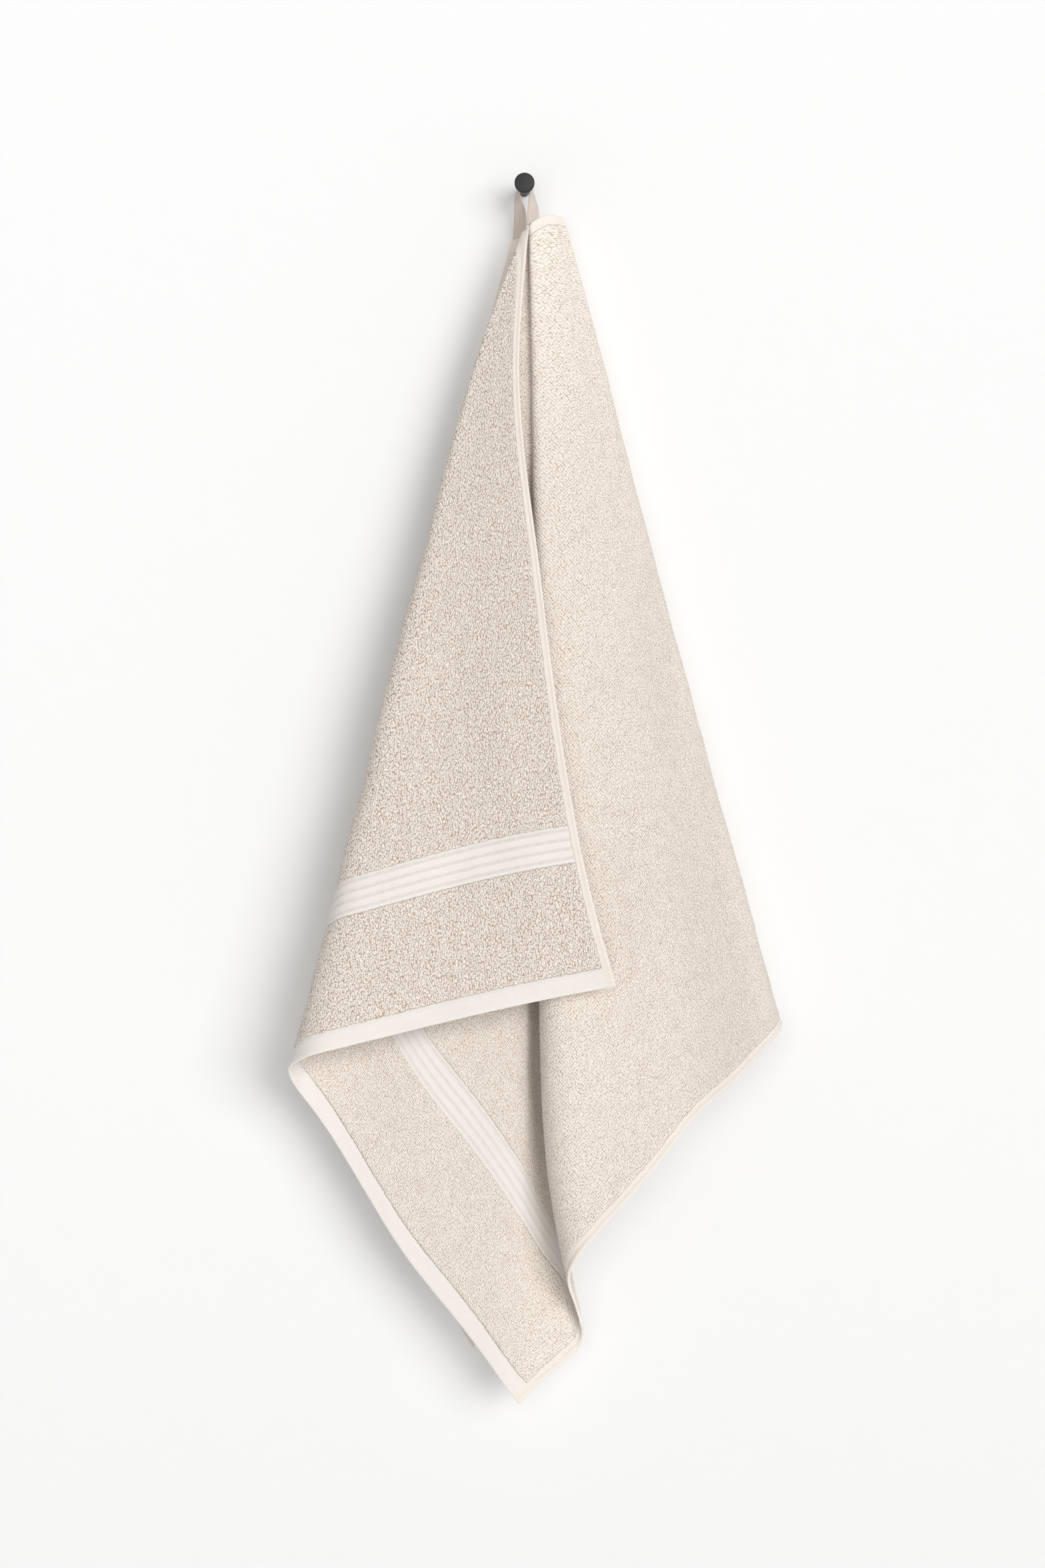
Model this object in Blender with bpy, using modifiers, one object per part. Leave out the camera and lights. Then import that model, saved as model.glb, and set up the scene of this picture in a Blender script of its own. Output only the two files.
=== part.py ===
"""A bath towel hanging by its tape loop from a small round wall hook.

The towel is one rectangle of terry cloth, 0.70 by 1.40 m, held up at the middle of one long side. Below the
loop it hangs as a cone of upright folds. Each fold is followed down the cloth as a roller that the cloth
passes round, so a level cut through the towel is a belt over a row of rollers: a straight run, a bend, the
next run. FOLDS gives the place, the distance from the wall and the bend radius of each roller at a few
lengths below the top, and the rest is worked out from it.

Metres, +Z up. The wall is the plane y = 0, the front faces -Y, and the origin is the centre of the hook's
back face.
"""
from collections import namedtuple
from math import cos, pi, radians, sin

import bmesh
import bpy
import numpy as np

CM = 0.01
MM = 0.001

# Towel, laid flat.
HALF_LENGTH = 0.70              # half of the long side, which carries the loop at its middle
WIDTH = 0.70                    # the short side
BUNCH = 0.04                    # cloth on either side of the loop that is gathered up at the top
CLOTH = 3.0 * MM                # terry, pile on both faces
THIN = 0.72                     # share of that thickness in the hems and in the pressed top of the folds
WIDE_HEM = 17 * MM              # turned hem along the short sides
NARROW_HEM = 8 * MM             # turned hem along the long sides
PRESSED = 0.15                  # length below the top over which the folds press the pile thin

# Hook.
CAP_RADIUS = 8.5 * MM
CAP_FRONT = 47 * MM             # distance of the cap's face from the wall
CAP_THICKNESS = 9 * MM
CAP_EDGE = 1.4 * MM             # rounding of the cap's rim
CAP_DOME = 0.5 * MM             # crown of the cap's face
STEM_RADIUS = 4.5 * MM

# Tape loop.
TAPE_THICKNESS = 1.2 * MM
TAPE_GAP = 0.45 * MM            # between the tape and the stem
TAPE_BACK = 21 * MM             # the tape's two edges on the stem, from the wall
TAPE_FRONT = 32 * MM

# Each fold is listed from the front hem, round to the far hem, as the cloth runs. Bearing is its direction
# in the flat cloth, in degrees from the front half of the long side. Turn is +1 or -1 for a bend and 0 for a
# point that the cloth only passes. Across, off_wall and radius are in cm at the cloth lengths of STATIONS;
# across is the bend's outermost line. Top_z is the height of its top in cm below the hook, arch the rise of
# the top edge before the next fold, and reach the stretch of the cloth along the fold.
STATIONS = (0.0, 0.12, 0.30, 0.55, 0.80, 1.00)
Fold = namedtuple("Fold", "name bearing turn opens across off_wall radius top_z arch reach")
FOLDS = (
    Fold("front hem", 0.0, 0, "none",
         (0.32, -0.45, 1.3, 4.9, 11.6, 17.0), (4.9, 5.8, 7.6, 10.0, 11.6, 12.0),
         (0, 0, 0, 0, 0, 0), -3.9, 0.0, 0.985),
    Fold("left fold", 26.0, -1, "right",
         (-0.1, -4.1, -8.8, -15.0, -21.3, -27.0), (4.25, 4.9, 6.0, 7.4, 8.4, 8.6),
         (0.3, 0.5, 1.1, 2.0, 2.6, 3.0), -4.1, 0.0, 1.00),
    Fold("low corner", 46.15, 0, "none",
         (0.6, 0.3, -0.2, -0.35, -0.45, -0.5), (3.74, 3.85, 4.56, 5.5, 5.7, 5.78),
         (0, 0, 0, 0, 0, 0), -4.6, 0.0, 1.02),
    Fold("lower fold", 47.2, 1, "left",
         (1.2, 0.95, 0.45, 0.5, 0.5, 2.4), (3.4, 3.55, 4.2, 4.9, 4.9, 3.2),
         (0.16, 0.25, 0.35, 0.6, 0.7, 2.6), -4.6, 0.0, 1.02),
    Fold("valley", 51.2, -1, "left",
         (2.2, 2.3, 2.5, 2.6, 3.0, 7.3), (3.1, 3.3, 3.9, 4.25, 4.3, 4.9),
         (0.16, 0.25, 0.4, 0.7, 0.7, 0.6), -4.7, 0.0, 1.03),
    Fold("front fold", 53.7, 1, "right",
         (0.45, 0.7, 0.9, 1.3, 2.4, 7.2), (4.4, 4.45, 5.3, 6.6, 7.4, 7.4),
         (0.16, 0.35, 0.8, 1.5, 2.1, 2.1), -3.75, 0.2, 1.03),
    Fold("right panel", 63.5, 0, "none",
         (2.2, 3.6, 6.4, 10.2, 14.6, 18.5), (4.0, 4.5, 5.8, 7.5, 8.7, 8.7),
         (0, 0, 0, 0, 0, 0), -2.65, 0.05, 1.012),
    Fold("right fold", 78.0, 1, "left",
         (3.3, 6.4, 10.8, 17.3, 24.0, 29.5), (3.1, 3.2, 3.9, 4.7, 5.3, 5.4),
         (0.6, 0.6, 0.9, 1.6, 2.2, 2.3), -2.85, 0.0, 0.993),
    Fold("first back fold", 99.0, -1, "right",
         (0.9, 0.9, 1.0, 0.8, 0.6, 0.4), (2.05, 2.2, 2.7, 2.8, 2.8, 2.8),
         (0.16, 0.2, 0.3, 0.35, 0.35, 0.35), -4.0, 0.0, 1.0),
    Fold("second back fold", 116.0, 1, "left",
         (2.4, 4.0, 6.3, 9.8, 13.3, 16.0), (1.7, 1.8, 2.1, 2.1, 2.1, 2.1),
         (0.16, 0.2, 0.3, 0.3, 0.3, 0.3), -4.0, 0.0, 0.98),
    Fold("third back fold", 143.0, -1, "right",
         (-0.3, -2.6, -5.4, -9.2, -12.2, -15.0), (1.3, 1.3, 1.45, 1.45, 1.45, 1.45),
         (0.16, 0.2, 0.3, 0.3, 0.3, 0.3), -4.3, 0.0, 0.985),
    Fold("last back fold", 162.0, 1, "left",
         (1.2, 1.3, 2.0, 2.9, 3.6, 4.0), (0.95, 0.95, 0.9, 0.85, 0.85, 0.85),
         (0.13, 0.18, 0.25, 0.25, 0.25, 0.25), -3.3, 0.0, 1.0),
    Fold("far hem", 180.0, 0, "none",
         (-1.1, -4.3, -8.0, -12.4, -16.5, -19.0), (0.75, 0.7, 0.55, 0.5, 0.5, 0.5),
         (0, 0, 0, 0, 0, 0), -4.4, 0.0, 1.0),
)
RUFFLES = ((30, 3, -0.006), (38, 4, 0.014), (65, 3.5, -0.011))  # lower edge: bearing, width, reach
CORNERS = (46.15, 133.85)       # bearings of the towel's two lower corners
TRUE_LENGTH = 0.65              # length at which a point's way round the rollers gives its bearing
LEVELS = 90                     # lengths at which the plan is worked out
DEEPEST = 1.02                  # longest of them
FINE_ARC = 13                   # points on half a bend, where the plan is read
FINE_RUN = 2                    # steps on a run
STEEPEST = 0.25                 # least share of a cloth length that goes into its drop

# The tape's two legs, in cm, from the stem down: a row gives the front edge and the back edge, each as
# across, off the wall and up. The legs twist, so their faces turn to the front on the way down.
Leg = namedtuple("Leg", "front_x front_off front_z back_x back_off back_z")
RIGHT_LEG = (
    Leg(0.45, 3.35, -0.70, 0.80, 2.50, -0.70),
    Leg(0.32, 3.75, -1.80, 1.10, 3.10, -1.80),
    Leg(0.20, 4.02, -2.90, 1.27, 3.90, -2.90),
    Leg(0.20, 4.10, -3.50, 1.30, 4.00, -3.70),
)
LEFT_LEG = (
    Leg(-0.40, 2.95, -0.70, -0.76, 2.05, -0.70),
    Leg(0.08, 2.00, -2.10, -0.86, 1.45, -2.20),
    Leg(0.15, 0.56, -3.60, -0.94, 0.46, -3.75),
    Leg(0.10, 0.53, -4.35, -1.00, 0.48, -4.80),
)
ROUND_STEM = 8                  # steps of the tape over the stem


def smooth(stations, values, at):
    """Read a column of the table at a length, along one smooth curve through its stations."""
    stations, values = np.asarray(stations, float), np.asarray(values, float)
    gaps = np.diff(stations)
    steps = np.diff(values) / gaps
    slopes = np.empty(len(values))
    slopes[1:-1] = (steps[:-1] * gaps[1:] + steps[1:] * gaps[:-1]) / (gaps[1:] + gaps[:-1])
    slopes[0], slopes[-1] = steps[0], steps[-1]
    i = int(np.clip(np.searchsorted(stations, at) - 1, 0, len(gaps) - 1))
    t = (at - stations[i]) / gaps[i]
    return ((2 * t**3 - 3 * t**2 + 1) * values[i] + (3 * t**2 - 2 * t**3) * values[i + 1]
            + ((t**3 - 2 * t**2 + t) * slopes[i] + (t**3 - t**2) * slopes[i + 1]) * gaps[i])


def rollers(length):
    """Centre and signed radius of each fold's roller at one cloth length."""
    found = []
    for fold in FOLDS:
        radius = smooth(STATIONS, fold.radius, length) * CM
        inward = {"right": 1, "left": -1, "none": 0}[fold.opens]
        across = smooth(STATIONS, fold.across, length) * CM + inward * radius
        off_wall = smooth(STATIONS, fold.off_wall, length) * CM
        found.append((np.array([across, -off_wall]), fold.turn * radius))
    return found


def on_roller(centre, radius, heading):
    """The point where a belt with this heading lies on a roller."""
    return centre + radius * np.array([sin(heading), -cos(heading)])


def plan(length, arc_steps, run_steps):
    """The belt round the rollers at one cloth length, and the index of each fold's crest in it."""
    wheels = rollers(length)
    headings = []
    for (here, r_here), (there, r_there) in zip(wheels[:-1], wheels[1:]):
        step = there - here
        tilt = np.clip((r_here - r_there) / np.hypot(*step), -1, 1)
        headings.append(np.arctan2(step[1], step[0]) + np.arcsin(tilt))
    points, crests = [wheels[0][0]], [0]

    def run_to(end, include):
        start = points[-1]
        for k in range(1, run_steps + include):
            points.append(start + (end - start) * k / run_steps)

    for number in range(1, len(wheels) - 1):
        centre, radius = wheels[number]
        arrive, leave = headings[number - 1], headings[number]
        turn = (leave - arrive + pi) % (2 * pi) - pi
        if FOLDS[number].turn * turn < 0:
            turn += FOLDS[number].turn * 2 * pi
        leave = arrive + turn
        upright = round((0.5 * (arrive + leave) / pi) - 0.5) * pi + 0.5 * pi
        crest = min(max(upright, min(arrive, leave)), max(arrive, leave))
        run_to(on_roller(centre, radius, arrive), 0)
        for heading in np.linspace(arrive, crest, arc_steps):
            points.append(on_roller(centre, radius, heading))
        crests.append(len(points) - 1)
        for heading in np.linspace(crest, leave, arc_steps)[1:]:
            points.append(on_roller(centre, radius, heading))
    run_to(wheels[-1][0], 1)
    crests.append(len(points) - 1)
    return np.array(points), crests


def way_along(points):
    """Distance travelled along a line of points."""
    return np.concatenate([[0.0], np.cumsum(np.hypot(*np.diff(points, axis=0).T))])


def bearing_marks(arc_steps, run_steps):
    """Bearing of every point of a plan. It is the same at all lengths, so a column stays on its bend."""
    points, crests = plan(TRUE_LENGTH, arc_steps, run_steps)
    way = way_along(points)
    return np.interp(way, way[crests], [fold.bearing for fold in FOLDS])


def bearings_of_columns(arc_steps, run_steps):
    """Bearings that put the sheet's columns on the bends and evenly on the runs between them."""
    marks = bearing_marks(arc_steps, run_steps)
    bearings = np.unique(np.round(np.concatenate([marks, CORNERS]), 3))
    close = np.diff(bearings, prepend=-1.0) < 0.03
    return bearings[~close | np.isin(bearings, CORNERS)]


def plan_at(length, bearings):
    """Points of the plan at the given bearings."""
    points, _ = plan(length, FINE_ARC, FINE_RUN)
    marks = bearing_marks(FINE_ARC, FINE_RUN)
    return np.stack([np.interp(bearings, marks, points[:, axis]) for axis in (0, 1)], axis=-1)


def cut_length(bearings):
    """Cloth length from the top to the towel's edge, and the hem's length, along each bearing."""
    along = np.abs(np.cos(np.radians(bearings)))
    down = np.sin(np.radians(bearings))
    to_short_side = HALF_LENGTH / np.maximum(along, 1e-6) - BUNCH
    to_long_side = WIDTH / np.maximum(down, 1e-6)
    hem = np.where(to_short_side < to_long_side,
                   WIDE_HEM / np.maximum(along, 0.1), NARROW_HEM / np.maximum(down, 0.1))
    return np.minimum(to_short_side, to_long_side), hem


def top_edge(bearings):
    """Height of the gathered top edge along the bearings."""
    listed = [fold.bearing for fold in FOLDS]
    height = np.interp(bearings, listed, [fold.top_z for fold in FOLDS])
    for fold, following in zip(FOLDS[:-1], FOLDS[1:]):
        share = np.clip((bearings - fold.bearing) / (following.bearing - fold.bearing), 0, 1)
        height = height + fold.arch * np.sin(pi * share)
    return height * CM


def hang(bearings, lengths):
    """Points of the cloth's middle for rows of lengths, one row for each bearing."""
    levels = np.linspace(0, DEEPEST, LEVELS)
    level_plan = np.stack([plan_at(level, bearings) for level in levels])
    gap = levels[1] - levels[0]
    sideways = (np.diff(level_plan, axis=0) / gap)
    stretch = np.interp(bearings, [fold.bearing for fold in FOLDS], [fold.reach for fold in FOLDS])
    for bearing, width, extra in RUFFLES:
        stretch = stretch + extra * np.exp(-((bearings - bearing) / width) ** 2)
    falls = np.sqrt(np.maximum(stretch**2 - (sideways**2).sum(axis=-1), STEEPEST**2)) * gap
    depth = np.concatenate([np.zeros((1, len(bearings))), np.cumsum(falls, axis=0)])
    places = np.empty(lengths.shape + (3,))
    for i, top in enumerate(top_edge(bearings)):
        places[i, :, 0] = np.interp(lengths[i], levels, level_plan[:, i, 0])
        places[i, :, 1] = np.interp(lengths[i], levels, level_plan[:, i, 1])
        places[i, :, 2] = top - np.interp(lengths[i], levels, depth[:, i])
    return places


def material(name, colour, roughness, metallic=0.0):
    """A plain finish for one kind of piece."""
    made = bpy.data.materials.new(name)
    made.use_nodes = True
    shader = made.node_tree.nodes["Principled BSDF"]
    shader.inputs["Base Color"].default_value = (*colour, 1.0)
    shader.inputs["Roughness"].default_value = roughness
    shader.inputs["Metallic"].default_value = metallic
    return made


def add_object(name, mesh, finish):
    """Put a mesh in the part's collection under its own name."""
    made = bpy.data.objects.new(name, mesh)
    mesh.materials.append(finish)
    part_collection.objects.link(made)
    return made


def sheet_mesh(name, places):
    """An open mesh over a grid of points."""
    columns, rows = places.shape[:2]
    work = bmesh.new()
    grid = [[work.verts.new(places[i, j]) for j in range(rows)] for i in range(columns)]
    for i in range(columns - 1):
        for j in range(rows - 1):
            work.faces.new((grid[i][j], grid[i][j + 1], grid[i + 1][j + 1], grid[i + 1][j]))
    bmesh.ops.recalc_face_normals(work, faces=work.faces)
    mesh = bpy.data.meshes.new(name)
    work.to_mesh(mesh)
    work.free()
    return mesh


def thicken(sheet, thickness, shares=None):
    """Give a sheet its thickness, to both sides; shares make it thinner in places."""
    shell = sheet.modifiers.new("thickness", "SOLIDIFY")
    shell.thickness = thickness
    shell.offset = 0.0
    if shares is not None:
        group = sheet.vertex_groups.new(name="thickness")
        for index, share in enumerate(shares):
            group.add([index], float(share), "REPLACE")
        shell.vertex_group = group.name


def make_towel(finish):
    """The towel: columns down its folds, with the last two rows in the hem."""
    bearings = bearings_of_columns(arc_steps=3, run_steps=3)
    whole, hem = cut_length(bearings)
    down = np.linspace(0, 1, 22) ** 1.3
    lengths = np.concatenate([down[None] * (whole - hem)[:, None], whole[:, None]], axis=1)
    thickness = THIN + (1 - THIN) * np.clip(lengths / PRESSED, 0, 1)
    thickness[:, -2:] = THIN
    towel = add_object("towel", sheet_mesh("towel", hang(bearings, lengths)), finish)
    towel.data.shade_smooth()
    thicken(towel, CLOTH, thickness.ravel())


def tape_rows():
    """Front and back edge points of the tape, from the right leg's end over the stem to the left leg's."""
    rows = [((leg.front_x, -leg.front_off, leg.front_z), (leg.back_x, -leg.back_off, leg.back_z))
            for leg in reversed(RIGHT_LEG)]
    rows = [tuple(np.array(edge) * CM for edge in row) for row in rows]
    radius = STEM_RADIUS + TAPE_GAP + TAPE_THICKNESS / 2
    for k in range(ROUND_STEM + 1):
        turn = pi * k / ROUND_STEM
        across, up = radius * cos(turn), radius * sin(turn)
        rows.append((np.array([across, -TAPE_FRONT, up]), np.array([across, -TAPE_BACK, up])))
    for leg in LEFT_LEG:
        rows.append((np.array([leg.front_x, -leg.front_off, leg.front_z]) * CM,
                     np.array([leg.back_x, -leg.back_off, leg.back_z]) * CM))
    return rows


def make_hanger_loop(finish):
    """The tape over the stem, with its two legs behind the towel's long hem."""
    rows = tape_rows()
    places = np.array([[front, (front + back) / 2, back] for front, back in rows])
    loop = add_object("hanger_loop", sheet_mesh("hanger_loop", places), finish)
    thicken(loop, TAPE_THICKNESS)


def hook_profile():
    """Radius and distance from the wall along the hook, from its face to its back."""
    profile = [(0.0, CAP_FRONT)]
    rim = CAP_RADIUS - CAP_EDGE
    for k in range(7):
        turn = radians(90 - 15 * k)
        profile.append((rim + CAP_EDGE * cos(turn), CAP_FRONT - CAP_DOME - CAP_EDGE * (1 - sin(turn))))
    back = CAP_FRONT - CAP_THICKNESS
    profile += [(CAP_RADIUS, back + 2.5 * CAP_EDGE), (STEM_RADIUS, back), (STEM_RADIUS, 0.0), (0.0, 0.0)]
    return profile


def make_hook(finish):
    """The hook, turned about the line that stands out from the wall."""
    mesh = bpy.data.meshes.new("hook")
    profile = hook_profile()
    mesh.from_pydata([(radius, 0.0, off) for radius, off in profile],
                     [(i, i + 1) for i in range(len(profile) - 1)], [])
    hook = add_object("hook", mesh, finish)
    hook.rotation_euler = (radians(90), 0.0, 0.0)
    turn = hook.modifiers.new("turned", "SCREW")
    turn.axis = "Z"
    turn.steps = turn.render_steps = 32
    turn.use_merge_vertices = True
    turn.merge_threshold = 0.0001
    turn.use_smooth_shade = True


for old in list(bpy.data.objects):
    bpy.data.objects.remove(old, do_unlink=True)
part_collection = bpy.data.collections.new("bath towel on a hook")
bpy.context.scene.collection.children.link(part_collection)

make_towel(material("terry", (0.80, 0.72, 0.64), 0.95))
make_hanger_loop(material("cotton tape", (0.78, 0.69, 0.61), 0.9))
make_hook(material("matt black paint", (0.02, 0.02, 0.022), 0.6))
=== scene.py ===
# %% [markdown]
# A bath towel on a wall hook.
# The towel is one rectangle of terry cloth, 0.70 by 1.40 m. It hangs by a tape loop at the middle of one long
# side, so below the loop it falls as a cone of upright folds. This notebook dresses the plain solids of the
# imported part: a fine cloth sheet with hems, borders and pile, a woven tape, a turned knob and a pale room.
# Lengths are in metres, +Z is up, the wall is the plane y = 0 and the front faces -Y.

from collections import namedtuple
from math import cos, pi, radians, sin

import bpy
import numpy as np
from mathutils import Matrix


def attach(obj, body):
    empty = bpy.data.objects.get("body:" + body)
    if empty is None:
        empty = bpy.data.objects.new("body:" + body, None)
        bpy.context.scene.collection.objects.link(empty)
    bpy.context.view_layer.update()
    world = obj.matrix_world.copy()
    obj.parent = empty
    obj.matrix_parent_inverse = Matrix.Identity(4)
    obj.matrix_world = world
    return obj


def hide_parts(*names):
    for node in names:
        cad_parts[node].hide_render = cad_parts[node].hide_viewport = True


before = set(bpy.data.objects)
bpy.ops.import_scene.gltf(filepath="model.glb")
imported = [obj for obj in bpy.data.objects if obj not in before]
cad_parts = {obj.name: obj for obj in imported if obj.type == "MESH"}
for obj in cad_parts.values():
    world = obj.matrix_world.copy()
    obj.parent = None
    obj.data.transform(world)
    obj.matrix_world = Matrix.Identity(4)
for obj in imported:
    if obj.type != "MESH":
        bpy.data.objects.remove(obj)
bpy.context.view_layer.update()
print("solids:", sorted(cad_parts))

CM = 0.01
MM = 0.001

# %% [markdown]
# The cloth as it lies flat.
# Everything that is woven or sewn into a towel has a place on the flat cloth: the turned hems along its edges
# and a flat border near each end. Those places are named here once. Later the same numbers shape the hems in
# the mesh and colour them in the materials, so the two can't drift apart.

# %% Sizes of the flat towel
HALF_LENGTH = 0.70              # half of the long side, which carries the loop at its middle
WIDTH = 0.70                    # the short side
BUNCH = 0.04                    # cloth on either side of the loop that is gathered up at the top
PRESSED = 0.15                  # length below the top over which the folds press the pile thin
PRESSED_SHARE = 0.72            # of the thickness that is left at the very top
END_HEM = 17 * MM               # turned hem along the short sides
SIDE_HEM = 8 * MM               # turned hem along the long sides
END_STITCH = 16.2 * MM          # where the hem's seam runs, from the edge
SIDE_STITCH = 3.9 * MM
BORDER_NEAR = 109 * MM          # the flat woven border, from the short edge
BORDER_FAR = 141 * MM
print("towel, flat:", WIDTH, "x", 2 * HALF_LENGTH, "m")

# %% [markdown]
# The folds.
# A cloth cone is hard to draw freely, but easy to describe one level at a time. Every fold is followed down
# the cloth as a roller, and a level cut through the towel is a belt that passes round the rollers in turn:
# a straight run, a bend, the next run. The table gives each roller's place at six lengths below the top.
# Bearing is the fold's direction in the flat cloth, in degrees from the front half of the long side. Across,
# off_wall and radius are in cm, and across is the bend's outermost line.

# %% Table of the folds
STATIONS = (0.0, 0.12, 0.30, 0.55, 0.80, 1.00)
Fold = namedtuple("Fold", "name bearing turn opens across off_wall radius top_z arch reach")
FOLDS = (
    Fold("front hem", 0.0, 0, "none",
         (0.32, -0.45, 1.3, 4.9, 11.6, 17.0), (4.9, 5.8, 7.6, 10.0, 11.6, 12.0),
         (0, 0, 0, 0, 0, 0), -3.9, 0.0, 0.985),
    Fold("left fold", 26.0, -1, "right",
         (-0.1, -4.1, -8.8, -15.0, -21.3, -27.0), (4.25, 4.9, 6.0, 7.4, 8.4, 8.6),
         (0.3, 0.5, 1.1, 2.0, 2.6, 3.0), -4.1, 0.0, 1.00),
    Fold("low corner", 46.15, 0, "none",
         (0.6, 0.3, -0.2, -0.35, -0.45, -0.5), (3.74, 3.85, 4.56, 5.5, 5.7, 5.78),
         (0, 0, 0, 0, 0, 0), -4.6, 0.0, 1.02),
    Fold("lower fold", 47.2, 1, "left",
         (1.2, 0.95, 0.45, 0.5, 0.5, 2.4), (3.4, 3.55, 4.2, 4.9, 4.9, 3.2),
         (0.16, 0.25, 0.35, 0.6, 0.7, 2.6), -4.6, 0.0, 1.02),
    Fold("valley", 51.2, -1, "left",
         (2.2, 2.3, 2.5, 2.6, 3.0, 7.3), (3.1, 3.3, 3.9, 4.25, 4.3, 4.9),
         (0.16, 0.25, 0.4, 0.7, 0.7, 0.6), -4.7, 0.0, 1.03),
    Fold("front fold", 53.7, 1, "right",
         (0.45, 0.7, 0.9, 1.3, 2.4, 7.2), (4.4, 4.45, 5.3, 6.6, 7.4, 7.4),
         (0.16, 0.35, 0.8, 1.5, 2.1, 2.1), -3.75, 0.2, 1.03),
    Fold("right panel", 63.5, 0, "none",
         (2.2, 3.6, 6.4, 10.2, 14.6, 18.5), (4.0, 4.5, 5.8, 7.5, 8.7, 8.7),
         (0, 0, 0, 0, 0, 0), -2.65, 0.05, 1.012),
    Fold("right fold", 78.0, 1, "left",
         (3.3, 6.4, 10.8, 17.3, 24.0, 29.5), (3.1, 3.2, 3.9, 4.7, 5.3, 5.4),
         (0.6, 0.6, 0.9, 1.6, 2.2, 2.3), -2.85, 0.0, 0.993),
    Fold("first back fold", 99.0, -1, "right",
         (0.9, 0.9, 1.0, 0.8, 0.6, 0.4), (2.05, 2.2, 2.7, 2.8, 2.8, 2.8),
         (0.16, 0.2, 0.3, 0.35, 0.35, 0.35), -4.0, 0.0, 1.0),
    Fold("second back fold", 116.0, 1, "left",
         (2.4, 4.0, 6.3, 9.8, 13.3, 16.0), (1.7, 1.8, 2.1, 2.1, 2.1, 2.1),
         (0.16, 0.2, 0.3, 0.3, 0.3, 0.3), -4.0, 0.0, 0.98),
    Fold("third back fold", 143.0, -1, "right",
         (-0.3, -2.6, -5.4, -9.2, -12.2, -15.0), (1.3, 1.3, 1.45, 1.45, 1.45, 1.45),
         (0.16, 0.2, 0.3, 0.3, 0.3, 0.3), -4.3, 0.0, 0.985),
    Fold("last back fold", 162.0, 1, "left",
         (1.2, 1.3, 2.0, 2.9, 3.6, 4.0), (0.95, 0.95, 0.9, 0.85, 0.85, 0.85),
         (0.13, 0.18, 0.25, 0.25, 0.25, 0.25), -3.3, 0.0, 1.0),
    Fold("far hem", 180.0, 0, "none",
         (-1.1, -4.3, -8.0, -12.4, -16.5, -19.0), (0.75, 0.7, 0.55, 0.5, 0.5, 0.5),
         (0, 0, 0, 0, 0, 0), -4.4, 0.0, 1.0),
)

# The lower edge waves where the cloth reaches further or less far: bearing, width in degrees, share of
# the length.
RUFFLES = ((30, 3, -0.006), (38, 4, 0.014), (65, 3.5, -0.011))

# Bends that are rounded off: bearing, degrees to each side, and the length below the top where that starts.
EASED = ((46.15, 0.2, 0.0), (47.0, 2.2, 0.72), (63.5, 6.0, 0.0))
EASE_IN = 0.15                  # length over which the rounding sets in
CORNERS = (46.15, 133.85)       # bearings of the towel's two lower corners
TRUE_LENGTH = 0.65              # length at which a point's way round the rollers gives its bearing
LEVELS = 130                    # lengths at which the plan is worked out
DEEPEST = 1.02                  # longest of them
FINE_ARC = 13                   # points on half a bend, where the plan is read
FINE_RUN = 2                    # steps on a run
STEEPEST = 0.25                 # least share of a cloth length that goes into its drop
print(len(FOLDS), "folds and edges")

# %% [markdown]
# From the table to a belt.
# A column of the table is read at any length along one smooth curve. Between two rollers the belt is the
# straight line that touches both, crossing over when they turn opposite ways, and its heading comes from the
# distance between the centres and the two radii.


# %% One level of the cloth
def smooth(stations, values, at):
    """Read a column of the table at a length, along one smooth curve through its stations."""
    stations, values = np.asarray(stations, float), np.asarray(values, float)
    gaps = np.diff(stations)
    steps = np.diff(values) / gaps
    slopes = np.empty(len(values))
    slopes[1:-1] = (steps[:-1] * gaps[1:] + steps[1:] * gaps[:-1]) / (gaps[1:] + gaps[:-1])
    slopes[0], slopes[-1] = steps[0], steps[-1]
    i = int(np.clip(np.searchsorted(stations, at) - 1, 0, len(gaps) - 1))
    t = (at - stations[i]) / gaps[i]
    return ((2 * t**3 - 3 * t**2 + 1) * values[i] + (3 * t**2 - 2 * t**3) * values[i + 1]
            + ((t**3 - 2 * t**2 + t) * slopes[i] + (t**3 - t**2) * slopes[i + 1]) * gaps[i])


def rollers(length):
    """Centre and signed radius of each fold's roller at one cloth length."""
    found = []
    for fold in FOLDS:
        radius = smooth(STATIONS, fold.radius, length) * CM
        inward = {"right": 1, "left": -1, "none": 0}[fold.opens]
        across = smooth(STATIONS, fold.across, length) * CM + inward * radius
        off_wall = smooth(STATIONS, fold.off_wall, length) * CM
        found.append((np.array([across, -off_wall]), fold.turn * radius))
    return found


def on_roller(centre, radius, heading):
    """The point where a belt with this heading lies on a roller."""
    return centre + radius * np.array([sin(heading), -cos(heading)])


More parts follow.
